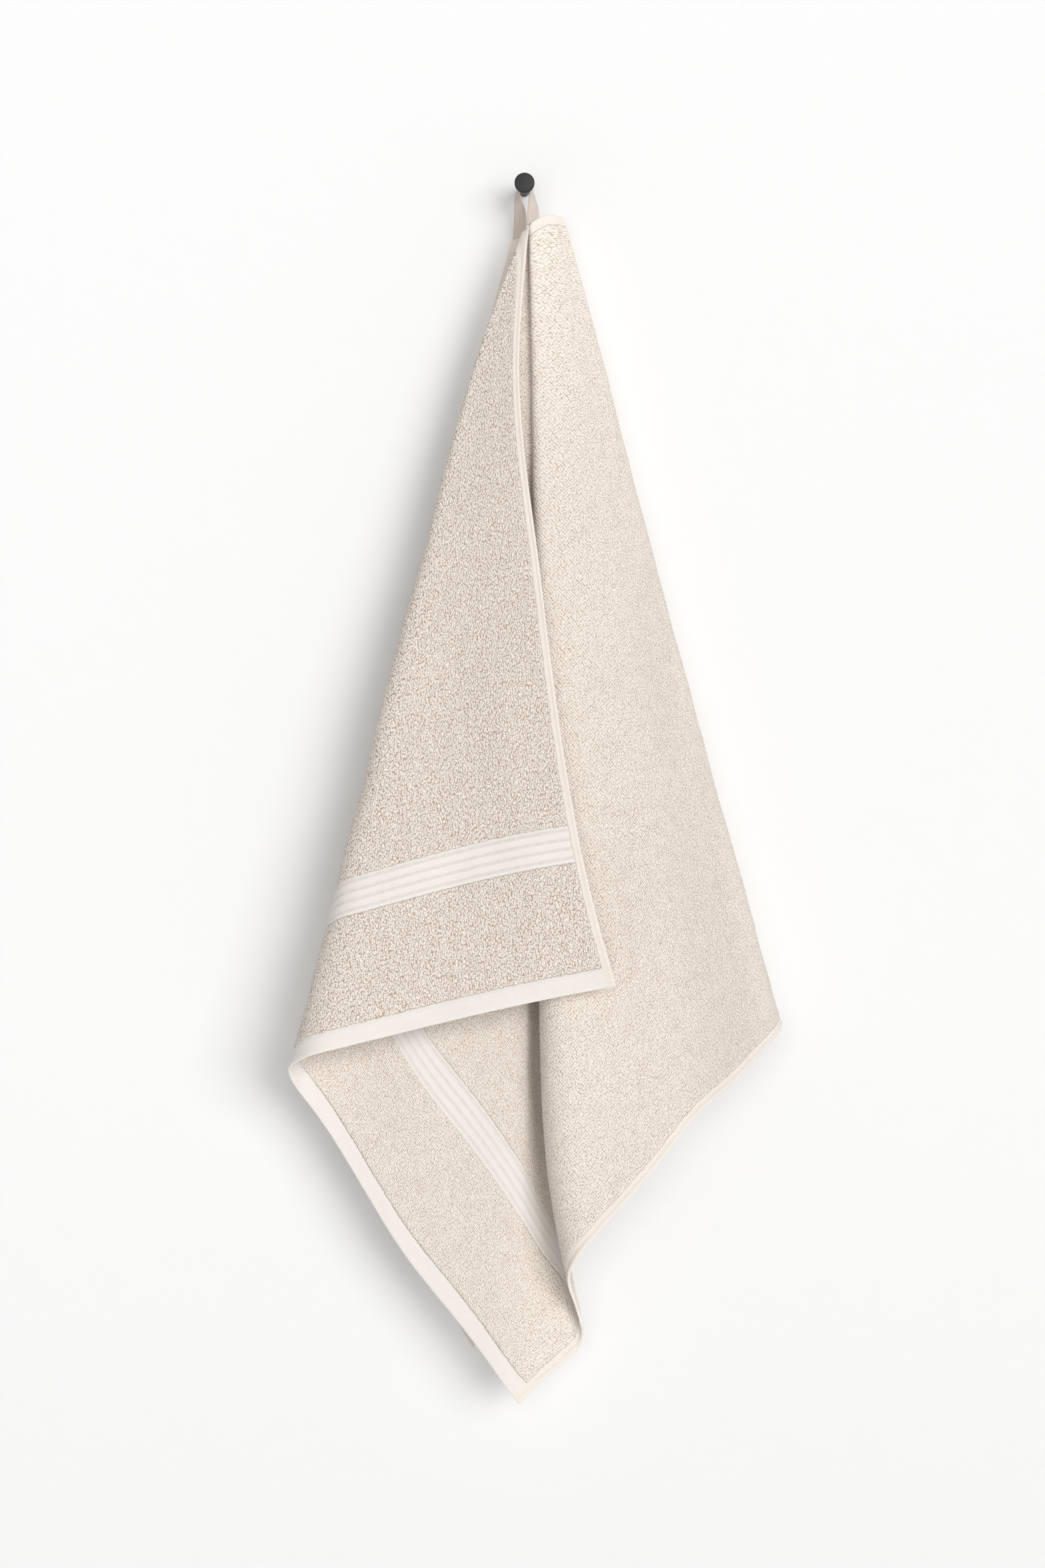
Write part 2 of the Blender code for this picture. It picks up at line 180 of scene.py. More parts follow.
def plan(length, arc_steps, run_steps):
    """The belt round the rollers at one cloth length, and the index of each fold's crest in it."""
    wheels = rollers(length)
    headings = []
    for (here, r_here), (there, r_there) in zip(wheels[:-1], wheels[1:]):
        step = there - here
        tilt = np.clip((r_here - r_there) / np.hypot(*step), -1, 1)
        headings.append(np.arctan2(step[1], step[0]) + np.arcsin(tilt))
    points, crests = [wheels[0][0]], [0]

    def run_to(end, include):
        start = points[-1]
        for k in range(1, run_steps + include):
            points.append(start + (end - start) * k / run_steps)

    for number in range(1, len(wheels) - 1):
        centre, radius = wheels[number]
        arrive, leave = headings[number - 1], headings[number]
        turn = (leave - arrive + pi) % (2 * pi) - pi
        if FOLDS[number].turn * turn < 0:
            turn += FOLDS[number].turn * 2 * pi
        leave = arrive + turn
        upright = round((0.5 * (arrive + leave) / pi) - 0.5) * pi + 0.5 * pi
        crest = min(max(upright, min(arrive, leave)), max(arrive, leave))
        run_to(on_roller(centre, radius, arrive), 0)
        for heading in np.linspace(arrive, crest, arc_steps):
            points.append(on_roller(centre, radius, heading))
        crests.append(len(points) - 1)
        for heading in np.linspace(crest, leave, arc_steps)[1:]:
            points.append(on_roller(centre, radius, heading))
    run_to(wheels[-1][0], 1)
    crests.append(len(points) - 1)
    return np.array(points), crests


def bearing_marks(arc_steps, run_steps):
    """Bearing of every point of a plan. It is the same at all lengths, so a column stays on its bend."""
    points, crests = plan(TRUE_LENGTH, arc_steps, run_steps)
    way = np.concatenate([[0.0], np.cumsum(np.hypot(*np.diff(points, axis=0).T))])
    return np.interp(way, way[crests], [fold.bearing for fold in FOLDS])


print("points on one level:", len(plan(TRUE_LENGTH, FINE_ARC, FINE_RUN)[0]))


# %% [markdown]
# From levels to the hanging cloth.
# Cloth does not stretch, so each step down a column has a known length. What the step spends going sideways
# it can't spend going down, and the drop is what Pythagoras leaves. Summing the drops gives the height.


# %% The hanging cloth
def top_edge(bearings):
    """Height of the gathered top edge along the bearings."""
    listed = [fold.bearing for fold in FOLDS]
    height = np.interp(bearings, listed, [fold.top_z for fold in FOLDS])
    for fold, following in zip(FOLDS[:-1], FOLDS[1:]):
        share = np.clip((bearings - fold.bearing) / (following.bearing - fold.bearing), 0, 1)
        height = height + fold.arch * np.sin(pi * share)
    return height * CM


def plans_at(bearings, levels):
    """Across and off the wall at each level and bearing, with the eased bends rounded off."""
    marks = bearing_marks(FINE_ARC, FINE_RUN)
    belts = [plan(level, FINE_ARC, FINE_RUN)[0] for level in levels]
    plans = np.stack([[np.interp(bearings, marks, belt[:, axis]) for axis in (0, 1)] for belt in belts])
    for bearing, reach, starts in EASED:
        inside = np.abs(bearings - bearing) < reach
        share = (bearings[inside] - bearing + reach) / (2 * reach)
        ends = (bearing - reach, bearing, bearing + reach)
        for length, belt, level in zip(levels, belts, plans):
            strength = np.clip((length - starts) / EASE_IN + (starts == 0), 0, 1)
            for axis in (0, 1):
                before, kink, after = np.interp(ends, marks, belt[:, axis])
                eased = (1 - share)**2 * before + 2 * share * (1 - share) * kink + share**2 * after
                level[axis, inside] += strength * (eased - level[axis, inside])
    return plans


def hang(bearings, lengths):
    """Points of the cloth's middle for rows of lengths, one row for each bearing."""
    levels = np.linspace(0, DEEPEST, LEVELS)
    level_plan = plans_at(bearings, levels)
    gap = levels[1] - levels[0]
    sideways = np.diff(level_plan, axis=0) / gap
    stretch = np.interp(bearings, [fold.bearing for fold in FOLDS], [fold.reach for fold in FOLDS])
    for bearing, width, extra in RUFFLES:
        stretch = stretch + extra * np.exp(-((bearings - bearing) / width)**2)
    falls = np.sqrt(np.maximum(stretch**2 - (sideways**2).sum(axis=1), STEEPEST**2)) * gap
    depth = np.concatenate([np.zeros((1, len(bearings))), np.cumsum(falls, axis=0)])
    places = np.empty(lengths.shape + (3,))
    for i, top in enumerate(top_edge(bearings)):
        places[i, :, 0] = np.interp(lengths[i], levels, level_plan[:, 0, i])
        places[i, :, 1] = np.interp(lengths[i], levels, level_plan[:, 1, i])
        places[i, :, 2] = top - np.interp(lengths[i], levels, depth[:, i])
    return places


def flat_place(bearings, lengths):
    """Where those points lie on the flat cloth: along from the loop, and in from the long side."""
    turn = np.radians(bearings)[:, None]
    return (lengths + BUNCH) * np.cos(turn), lengths * np.sin(turn)


# %% [markdown]
# Creases and hollows.
# The table makes clean folds, and real cloth is never that clean. A few soft troughs and ridges are placed
# one by one, in the towel's own flat sizes, with a slow unevenness over all of it and small puckers along the
# hems, where the seam is a little shorter than the cloth. Back layers lie close together, so they get less.

# %% Table of the creases
Crease = namedtuple("Crease", "name along inward angle length width height")
CREASES = (
    Crease("hollow by the front hem", 0.50, 0.055, 2, 0.13, 0.020, -2.0),
    Crease("swell in the front panel", 0.47, 0.115, 8, 0.16, 0.030, 2.5),
    Crease("dent under the border", 0.63, 0.050, 4, 0.05, 0.018, -1.8),
    Crease("press line on the right panel", 0.13, 0.62, -38, 0.045, 0.0035, 0.7),
    Crease("swell in the lower panel", 0.60, 0.46, 55, 0.12, 0.035, 3.0),
    Crease("trough in the lower panel", 0.62, 0.36, 50, 0.10, 0.022, -2.0),
)
UNEVENNESS = ((0.21, 0.9), (0.13, 0.7), (0.083, 0.45), (0.051, 0.25))  # size in metres, height in mm
PUCKER = (0.02, 0.047, 0.5)     # reach from the edge and pitch in metres, height in mm
RIPPLE = (0.05, 0.16, 0.9)
QUIET = ((0, 40, 48, 50, 56, 60, 74, 80, 90, 180), (1, 1, 1, .5, .5, 1, 1, .5, .3, .3))  # share by bearing
QUIET_TOP = 0.25                # length near the loop over which all of it fades in


def lift(along, inward, bearings):
    """How far the cloth stands off its clean fold, in metres, at places on the flat cloth."""
    height = np.zeros_like(along)
    for crease in CREASES:
        turn = radians(crease.angle)
        a, b = along - crease.along, inward - crease.inward
        lengthwise, crosswise = a * cos(turn) + b * sin(turn), b * cos(turn) - a * sin(turn)
        height += crease.height * np.exp(-(lengthwise / crease.length)**2 - (crosswise / crease.width)**2)
    for k, (size, tall) in enumerate(UNEVENNESS):
        turn = 0.9 + 2.1 * k
        height += tall * (np.sin(2 * pi * (along * cos(turn) + inward * sin(turn)) / size + 1.7 * k)
                          * np.sin(2 * pi * (inward * cos(turn) - along * sin(turn)) / (1.3 * size) + k))
    from_edge = np.minimum(WIDTH - inward, HALF_LENGTH - np.abs(along))
    for (reach, pitch, tall), way in ((PUCKER, along + inward), (RIPPLE, along - inward)):
        height += tall * np.exp(-(from_edge / reach)**2) * np.sin(2 * pi * way / pitch)
    near_top = np.clip((inward + np.abs(along)) / QUIET_TOP - 0.2, 0.05, 1)
    return height * MM * np.interp(bearings, *QUIET)[:, None] * near_top


def grid_normals(places):
    """Unit normals of a grid of points."""
    down = np.gradient(places, axis=1)
    across = np.gradient(places, axis=0)
    normals = np.cross(down, across)
    return normals / np.maximum(np.linalg.norm(normals, axis=-1, keepdims=True), 1e-12)


print(len(CREASES), "creases placed by hand")

# %% [markdown]
# Columns and rows.
# The sheet is a grid. Its columns run down the folds, with more of them round each bend and beside the side
# hems, where the cloth changes most. Its rows are counted from the edges, so that the steps of a hem
# fall on rows: a fixed list of distances near the edge, in mm, then even steps up to the gathered top.

# %% The sheet's grid
WIDEST_GAP = 0.92               # degrees between columns on the long runs
BESIDE_HEM = (0.14, 0.28, 0.42, 0.56, 0.70, 0.86, 1.05, 1.3, 1.6, 2.0, 2.5, 3.1, 3.8, 4.7, 5.8, 7.0)
TOP_ROWS = (0, 0.6, 1.5, 2.8, 3.9, 5.0, 6.5, 8.0, 9.5, 12, 16)
EDGE_ROWS = (30, 24, 20.5, 18.5, 17.2, 16.2, 15.2, 13, 11, 9.5, 8.0, 6.5, 5.0, 3.9, 2.8, 1.5, 0.6, 0)
MIDDLE_ROWS = 112
TOO_CLOSE = 0.03                # degrees below which two columns become one
TOWARDS_TOP = 1.08              # above 1, the middle rows crowd a little towards the top


def sheet_bearings():
    """Bearings of the sheet's columns."""
    beside = np.array(BESIDE_HEM)
    wanted = np.concatenate([bearing_marks(5, 1), CORNERS, beside, 180 - beside])
    wanted = np.unique(np.round(wanted, 3))
    close = np.diff(wanted, prepend=-1.0) < TOO_CLOSE
    wanted = wanted[~close | np.isin(wanted, CORNERS)]
    bearings = [wanted[0]]
    for bearing in wanted[1:]:
        parts = int(np.ceil((bearing - bearings[-1]) / WIDEST_GAP))
        bearings += list(np.linspace(bearings[-1], bearing, parts + 1)[1:])
    return np.array(bearings)


def edge_length(bearings):
    """Cloth length from the top to the edge, and how much longer a slanted column is than the way to it."""
    along = np.abs(np.cos(np.radians(bearings)))
    down = np.sin(np.radians(bearings))
    to_short_side = HALF_LENGTH / np.maximum(along, 1e-6) - BUNCH
    to_long_side = WIDTH / np.maximum(down, 1e-6)
    straight = np.where(to_short_side < to_long_side, along, down)
    return np.minimum(to_short_side, to_long_side), 1 / np.maximum(straight, 0.1)


def sheet_lengths(bearings):
    """Cloth lengths of the sheet's rows along each bearing."""
    whole, slant = edge_length(bearings)
    top = np.array(TOP_ROWS) * MM
    edge = np.array(EDGE_ROWS) * MM
    share = (np.arange(1, MIDDLE_ROWS + 1) / (MIDDLE_ROWS + 1))**TOWARDS_TOP
    last = whole - edge[0] * slant
    middle = top[-1] + share[None] * (last - top[-1])[:, None]
    return np.concatenate([np.repeat(top[None], len(bearings), axis=0), middle,
                           whole[:, None] - edge[None] * slant[:, None]], axis=1)


def place_cloth(bearings, lengths):
    """Points of the creased cloth's middle and their normals."""
    places = hang(bearings, lengths)
    normals = grid_normals(places)
    along, inward = flat_place(bearings, lengths)
    places = places + normals * lift(along, inward, bearings)[..., None]
    return places, grid_normals(places)


bearings = sheet_bearings()
lengths = sheet_lengths(bearings)
places, normals = place_cloth(bearings, lengths)
print("grid:", places.shape[0], "columns by", places.shape[1], "rows")

# %% [markdown]
# Hems with a real thickness.
# A hem is the cloth turned over and sewn. It has no pile, it is rounded at its outer edge, and the seam pulls
# a groove into it. Two short lists give the thickness from the edge inwards, in mm. The sheet then becomes
# a body with the Solidify modifier, and a vertex group holds the thickness at every point.

# %% Thickness from the edge inwards
PILE = 3.0                      # the terry with the loops of both faces
SIDE_PROFILE = ((0, 0.9), (0.6, 1.9), (1.5, 2.5), (2.8, 2.5), (3.9, 1.1), (5.0, 1.9), (8.0, 1.9), (9.5, PILE))
END_PROFILE = ((0, 0.9), (0.6, 1.8), (1.5, 2.2), (15.2, 2.1), (16.2, 1.2), (17.2, 1.9), (18.5, PILE))


def thickness_at(along, inward, lengths):
    """Thickness of the cloth at places on the flat cloth, in metres."""
    from_end = (HALF_LENGTH - np.abs(along)) / MM
    from_side = np.minimum(inward, WIDTH - inward) / MM
    end = np.interp(from_end, *zip(*END_PROFILE))
    side = np.interp(from_side, *zip(*SIDE_PROFILE))
    pressed = PRESSED_SHARE + (1 - PRESSED_SHARE) * np.clip(lengths / PRESSED, 0, 1)
    return np.minimum(end, side) * MM * pressed


# %% [markdown]
# Building the sheet.
# A grid of points becomes a mesh with from_pydata. The UV map is the flat cloth itself, in metres, so every
# pattern in the materials can be drawn at its real size. Solidify gives the two faces different materials:
# on the real towel the loops are coarser on the face that shows in front at the left.


# %% Helpers for a sheet
def add_object(name, data):
    """A new object in the scene."""
    made = bpy.data.objects.new(name, data)
    bpy.context.scene.collection.objects.link(made)
    return made


def sheet_object(name, places, flat_u, flat_v):
    """A mesh over a grid of points, with its flat cloth as the UV map."""
    columns, rows = places.shape[:2]
    index = np.arange(columns * rows).reshape(columns, rows)
    corners = (index[:-1, :-1], index[:-1, 1:], index[1:, 1:], index[1:, :-1])
    faces = np.stack(corners, axis=-1).reshape(-1, 4)
    mesh = bpy.data.meshes.new(name)
    mesh.from_pydata(places.reshape(-1, 3).tolist(), [], faces.tolist())
    uv = mesh.uv_layers.new(name="flat")
    at_points = np.stack([flat_u.ravel(), flat_v.ravel()], axis=-1)
    uv.uv.foreach_set("vector", at_points[faces.ravel()].astype(np.float32).ravel())
    mesh.shade_smooth()
    return add_object(name, mesh)


def thicken(sheet, thickness, other_face=0):
    """Give a sheet its thickness, to both sides. The other face takes the material so many slots on."""
    group = sheet.vertex_groups.new(name="thickness")
    most = float(thickness.max())
    for index, value in enumerate(thickness.ravel() / most):
        group.add([index], float(value), "REPLACE")
    shell = sheet.modifiers.new("thickness", "SOLIDIFY")
    shell.thickness = most
    shell.offset = 0.0
    shell.vertex_group = group.name
    shell.material_offset = other_face


# %% The towel's sheet
along, inward = flat_place(bearings, lengths)
towel = sheet_object("towel_cloth", places, along + HALF_LENGTH, inward)
front_face = next(p for p in towel.data.polygons if p.center.z < -0.4 and p.center.x < 0)
print("first face looks towards", [round(x, 2) for x in front_face.normal])
thicken(towel, thickness_at(along, inward, lengths), other_face=1)
print("towel faces before thickness:", len(towel.data.polygons))

# %% [markdown]
# Node helpers.
# Materials here are sums and products of simple signals. A node tree written out link by link is hard to
# read, so a few helpers let a formula be written as calls: a value may be a number or another node's output.


# %% Helpers for node trees
def feed(tree, socket, value):
    """Link an output to a socket, or set the socket's own value."""
    if isinstance(value, bpy.types.NodeSocket):
        tree.links.new(value, socket)
    else:
        socket.default_value = value


def feed_all(tree, node, **values):
    """Feed a node's inputs by name; returns the node."""
    for name, value in values.items():
        feed(tree, node.inputs[name.replace("_", " ").title()], value)
    return node


def add_node(tree, kind, **values):
    """A new node with its inputs fed by name."""
    return feed_all(tree, tree.nodes.new(kind), **values)


def calc(tree, operation, *values):
    """A Math node; returns its output."""
    node = tree.nodes.new("ShaderNodeMath")
    node.operation = operation
    for socket, value in zip(node.inputs, values):
        feed(tree, socket, value)
    return node.outputs[0]


def plus(tree, first, second):
    return calc(tree, "ADD", first, second)


def minus(tree, first, second):
    return calc(tree, "SUBTRACT", first, second)


def times(tree, first, second):
    return calc(tree, "MULTIPLY", first, second)


def step_up(tree, value, low, high, to_low=0.0, to_high=1.0):
    """A soft step from to_low to to_high while the value goes from low to high."""
    node = add_node(tree, "ShaderNodeMapRange", value=value, from_min=low, from_max=high,
                    to_min=to_low, to_max=to_high)
    node.interpolation_type = "SMOOTHSTEP"
    return node.outputs["Result"]


def blend(tree, factor, first, second):
    """Mix of two colours."""
    node = tree.nodes.new("ShaderNodeMix")
    node.data_type = "RGBA"
    return feed_all(tree, node, factor=factor, a=first, b=second).outputs["Result"]


def noise(tree, place, scale, detail, output="Fac", **values):
    """A noise texture; returns one of its outputs."""
    node = add_node(tree, "ShaderNodeTexNoise", vector=place, scale=scale, detail=detail, **values)
    return node.outputs[output]


def new_group(name, inputs, outputs, kind="ShaderNodeTree"):
    """An empty group; returns it with its inner input and output nodes."""
    tree = bpy.data.node_groups.new(name, kind)
    for label, kind, value in inputs:
        socket = tree.interface.new_socket(label, in_out="INPUT", socket_type=kind)
        if value is not None:
            socket.default_value = value
    for label, kind in outputs:
        tree.interface.new_socket(label, in_out="OUTPUT", socket_type=kind)
    return tree, tree.nodes.new("NodeGroupInput"), tree.nodes.new("NodeGroupOutput")


def use_group(tree, group, **values):
    """Place a group in a material and feed its inputs by name."""
    node = tree.nodes.new("ShaderNodeGroup")
    node.node_tree = group
    return feed_all(tree, node, **values)


def across_and_down(tree, place):
    """The two parts of a place on the flat cloth."""
    node = add_node(tree, "ShaderNodeSeparateXYZ", vector=place)
    return node.outputs["X"], node.outputs["Y"]


def new_material(name, roughness=0.5, sheen=0.0):
    """A material with nodes; returns it with its tree and its shader."""
    made = bpy.data.materials.new(name)
    made.use_nodes = True
    tree = made.node_tree
    shader = feed_all(tree, tree.nodes["Principled BSDF"], roughness=roughness, sheen_weight=sheen)
    return made, tree, shader


def flat_map(tree):
    """The place on the flat cloth, from the piece's own UV map."""
    node = tree.nodes.new("ShaderNodeUVMap")
    node.uv_map = "flat"
    return node.outputs["UV"]


def raise_by(tree, shader, height, distance):
    """Raise the surface by a height that is 1 for so many metres, as bump."""
    node = add_node(tree, "ShaderNodeBump", distance=distance, height=height)
    feed(tree, shader.inputs["Normal"], node.outputs["Normal"])


def linear(red, green, blue):
    """A colour picked on screen, 0 to 255, as the linear values that a shader takes."""
    scaled = [part / 255 for part in (red, green, blue)]
    return tuple(s / 12.92 if s <= 0.04045 else ((s + 0.055) / 1.055)**2.4 for s in scaled) + (1.0,)


NUMBER = "NodeSocketFloat"
PLACE = "NodeSocketVector"
BODY = "NodeSocketGeometry"

# %% [markdown]
# Zones of the cloth.
# One group answers, for any place on the flat cloth, how much it is hem and how much it is border. It is
# built from the sizes at the top, and both faces of the towel use it.

# %% Group: zones of the cloth
FRAYED = 2.4 * MM               # how far single loops stand over the line of a hem or a border
zones, given, out = new_group(
    "cloth zones",
    [("Flat", PLACE, None)],
    [("Hem", NUMBER), ("Border", NUMBER), ("From End", NUMBER), ("From Side", NUMBER)])
along_flat, down_flat = across_and_down(zones, given.outputs["Flat"])
from_middle = calc(zones, "ABSOLUTE", minus(zones, along_flat, HALF_LENGTH))
from_end = minus(zones, HALF_LENGTH, from_middle)
from_side = calc(zones, "MINIMUM", down_flat, minus(zones, WIDTH, down_flat))
ragged = noise(zones, given.outputs["Flat"], 330.0, 1.0)
ragged = times(zones, minus(zones, ragged, 0.5), FRAYED)
ragged_end, ragged_side = plus(zones, from_end, ragged), plus(zones, from_side, ragged)
end_hem = step_up(zones, ragged_end, END_HEM - 0.4 * MM, END_HEM + 0.9 * MM, 1.0, 0.0)
side_hem = step_up(zones, ragged_side, SIDE_HEM - 0.6 * MM, SIDE_HEM + 0.7 * MM, 1.0, 0.0)
inside = step_up(zones, ragged_end, BORDER_NEAR - 0.6 * MM, BORDER_NEAR + 0.6 * MM)
outside = step_up(zones, ragged_end, BORDER_FAR - 0.6 * MM, BORDER_FAR + 0.6 * MM, 1.0, 0.0)
hem = calc(zones, "MAXIMUM", end_hem, side_hem)
border = times(zones, times(zones, inside, outside), minus(zones, 1.0, hem))
feed_all(zones, out, hem=hem, border=border, from_end=from_end, from_side=from_side)
print("group:", zones.name)

# %% [markdown]
# The pile.
# Terry is a field of little yarn loops. They stand in the rows that the loom made, and lean and crowd as they
# like. A Voronoi texture has just that character: with no randomness it is a grid, with a lot it is gravel.
# Its distance gives each loop a round top, and the gap around it gets a painted shade; noise pushes the rows
# about.

# %% Group: terry pile
pile, given, out = new_group(
    "terry pile",
    [("Flat", PLACE, None), ("Loop Width", NUMBER, 1.5), ("Loop Length", NUMBER, 1.9),
     ("Wander", NUMBER, 0.6), ("Lean", NUMBER, 0.8)],
    [("Height", NUMBER), ("Gap", NUMBER), ("Patch", NUMBER)])
flat = given.outputs["Flat"]
along_flat, down_flat = across_and_down(pile, flat)
sway = add_node(pile, "ShaderNodeSeparateColor", color=noise(pile, flat, 260.0, 1.0, "Color"))
lean = given.outputs["Lean"]
shift_u = times(pile, minus(pile, sway.outputs[0], 0.5), lean)
shift_v = times(pile, minus(pile, sway.outputs[1], 0.5), lean)
loop_u = calc(pile, "DIVIDE", times(pile, along_flat, 1 / MM), given.outputs["Loop Length"])
loop_v = calc(pile, "DIVIDE", times(pile, down_flat, 1 / MM), given.outputs["Loop Width"])
loops_at = add_node(pile, "ShaderNodeCombineXYZ",
                    x=plus(pile, loop_u, shift_u), y=plus(pile, loop_v, shift_v))
cells = pile.nodes.new("ShaderNodeTexVoronoi")
cells.voronoi_dimensions = "2D"
feed_all(pile, cells, vector=loops_at.outputs[0], scale=1.0, randomness=given.outputs["Wander"])
distance = cells.outputs["Distance"]
loop = step_up(pile, distance, 0.12, 0.68, 1.0, 0.0)
# Gap is painted shade: it darkens the colour in the hollows between the loops.
gap = step_up(pile, distance, 0.36, 0.74)
yarn = noise(pile, flat, 1900.0, 2.0)
patch = noise(pile, flat, 90.0, 3.0, roughness=0.65)
height = plus(pile, loop, times(pile, yarn, 0.45))
feed_all(pile, out, height=plus(pile, height, times(pile, patch, 0.6)),
         gap=times(pile, gap, plus(pile, yarn, 0.5)), patch=patch)
print("group:", pile.name)

# %% [markdown]
# Flat weave and the ladder ribs.
# The hems, the borders and the tape are woven without loops. A fine twill shows in them: two slanted waves,
# a thread apart. The border adds four ladders, bands of short rungs with a smooth band between.

# %% Group: flat weave
weave, given, out = new_group(
    "flat weave", [("Flat", PLACE, None), ("Thread", NUMBER, 0.9)], [("Height", NUMBER)])
along_flat, down_flat = across_and_down(weave, given.outputs["Flat"])
turns = calc(weave, "DIVIDE", 2 * pi / MM, given.outputs["Thread"])
slant = plus(weave, along_flat, times(weave, down_flat, 0.6))
ribs = calc(weave, "SINE", times(weave, slant, turns))
cross = calc(weave, "SINE", times(weave, down_flat, times(weave, turns, 1.4)))
fibre = noise(weave, given.outputs["Flat"], 2400.0, 1.0)
both = plus(weave, times(weave, ribs, 0.5), times(weave, cross, 0.35))
feed_all(weave, out, height=plus(weave, both, fibre))
print("group:", weave.name)

# %% Group: ladder ribs
LADDERS = 4
RUNG = 1.35 * MM                # pitch of the rungs
ladder, given, out = new_group("ladder ribs", [("Flat", PLACE, None), ("From End", NUMBER, 0.0)],
                               [("Height", NUMBER), ("Rung", NUMBER)])
_, down_flat = across_and_down(ladder, given.outputs["Flat"])
inside = minus(ladder, given.outputs["From End"], BORDER_NEAR)
place = calc(ladder, "FRACT", times(ladder, inside, LADDERS / (BORDER_FAR - BORDER_NEAR)))
begins, ends = step_up(ladder, place, 0.34, 0.42), step_up(ladder, place, 0.70, 0.78, 1.0, 0.0)
band = times(ladder, begins, ends)
beat = calc(ladder, "SINE", times(ladder, down_flat, 2 * pi / RUNG))
rung = times(ladder, band, step_up(ladder, beat, -0.3, 0.5))
swell = calc(ladder, "SINE", times(ladder, place, pi))
feed_all(ladder, out, height=minus(ladder, swell, times(ladder, rung, 0.8)), rung=rung)
print("group:", ladder.name)

# %% [markdown]
# The two faces of the towel.
# Each face is a material that places the same four groups with its own values. Pile, weave and ribs are mixed
# by the zones, once for the colour and once for the height that feeds the Bump node. Cotton scatters light
# in its fuzz, which is what the sheen of the Principled BSDF is for.

# %% Materials of the terry
TERRY = linear(249, 239, 229)
# Dark end of the pile's colour: painted shade in the gaps between the loops, and the dark side of random
# patches.
TERRY_GAP_SHADE_AND_TONE = linear(166, 139, 119)
WOVEN = linear(236, 231, 225)
# Dark end of the woven colour: painted shade in the low threads, and the colour of the border's rungs.
WOVEN_SHADE_AND_RUNG = linear(222, 214, 207)
SIDE_WOVEN = linear(236, 225, 215)      # the long sides' hems, warmer than the ends'
PILE_STEP = 0.6                 # the pile stands this far over the flat weave, in mm
RIB_HEIGHT = 0.22               # the same for the borders' ribs
TWILL_HEIGHT = 0.12             # and for the threads of the flat weave


def terry_material(name, loop_width, loop_length, wander, lean, gap_shade, relief):
    """A face of the towel: pile, with woven hems and borders where the flat cloth has them."""
    made, tree, shader = new_material(name, roughness=0.95, sheen=0.25)
    flat = flat_map(tree)
    zone = use_group(tree, zones, flat=flat)
    loops = use_group(tree, pile, flat=flat, loop_width=loop_width, loop_length=loop_length,
                      wander=wander, lean=lean)
    woven = use_group(tree, weave, flat=flat, thread=0.9)
    rungs = use_group(tree, ladder, flat=flat, from_end=zone.outputs["From End"])
    hem, border = zone.outputs["Hem"], zone.outputs["Border"]
    is_woven = calc(tree, "MAXIMUM", hem, border)
    bare = minus(tree, 1.0, is_woven)

    # Painted shade in the gaps between the loops, plus random patches of tone, mix the pile's colour towards
    # its dark end.
    gap = times(tree, loops.outputs["Gap"], gap_shade)
    patch = times(tree, minus(tree, loops.outputs["Patch"], 0.47), 0.45)
    pile_colour = blend(tree, plus(tree, gap, patch), TERRY, TERRY_GAP_SHADE_AND_TONE)
    # Painted shade: the colour darkens where the weave's threads lie low.
    woven_shade = times(tree, step_up(tree, woven.outputs["Height"], 0.0, 1.1, 1.0, 0.0), 0.35)
    rung_shade = times(tree, rungs.outputs["Rung"], border)
    woven_colour = blend(tree, calc(tree, "MAXIMUM", woven_shade, rung_shade), WOVEN, WOVEN_SHADE_AND_RUNG)
    beside = step_up(tree, zone.outputs["From Side"], SIDE_HEM, SIDE_HEM + 2 * MM, 0.8, 0.0)
    woven_colour = blend(tree, beside, woven_colour, SIDE_WOVEN)
    feed(tree, shader.inputs["Base Color"], blend(tree, is_woven, pile_colour, woven_colour))

    pile_height = plus(tree, times(tree, loops.outputs["Height"], relief), PILE_STEP)
    rib_height = times(tree, rungs.outputs["Height"], times(tree, border, RIB_HEIGHT))
    woven_height = plus(tree, times(tree, woven.outputs["Height"], TWILL_HEIGHT), rib_height)
    height = plus(tree, times(tree, pile_height, bare), times(tree, woven_height, is_woven))
    raise_by(tree, shader, height, 1.0 * MM)
    shader.inputs["Specular IOR Level"].default_value = 0.15
    shader.inputs["Sheen Roughness"].default_value = 0.5
    return made


loopy_face = terry_material("terry loopy face", loop_width=1.6, loop_length=2.0, wander=0.85, lean=1.3,
                            gap_shade=0.85, relief=0.75)
close_face = terry_material("terry close face", loop_width=1.6, loop_length=1.9, wander=0.45, lean=0.9,
                            gap_shade=0.82, relief=0.62)
towel.data.materials.append(close_face)
towel.data.materials.append(loopy_face)
print("materials:", loopy_face.name, "and", close_face.name)

# %% [markdown]
# Stitches.
# A seam repeats one short stitch along a path, so Geometry Nodes make it: the path is cut at the stitch
# pitch, a small capsule is set on each point along the path's direction, and the instances are realized into
# plain mesh. The paths are taken from the same hanging cloth, a thread above each of its faces.

# %% Seam paths on the cloth
THREAD_RADIUS = 0.33 * MM
STITCH_PITCH = 3.1 * MM
STITCH_LENGTH = 2.3 * MM
SEAM_END = 4 * MM               # the top seam stops this far before the corner
STITCH_PROUD = 0.35             # how far a stitch's middle lies over the cloth, in thread radii
BESIDE = 0.5 * MM               # rows this far to each side of a seam give the cloth's slope there


def on_cloth(turns, reach, face):
    """Points on one face of the cloth, for bearings in degrees and a cloth length for each."""
    around = np.stack([reach - BESIDE, reach, reach + BESIDE], axis=1)
    places, normals = place_cloth(turns, around)
    along, inward = flat_place(turns, reach[:, None])
    depth = thickness_at(along, inward, reach[:, None])[:, 0] / 2
    return places[:, 1] + face * normals[:, 1] * (depth + STITCH_PROUD * THREAD_RADIUS)[:, None]


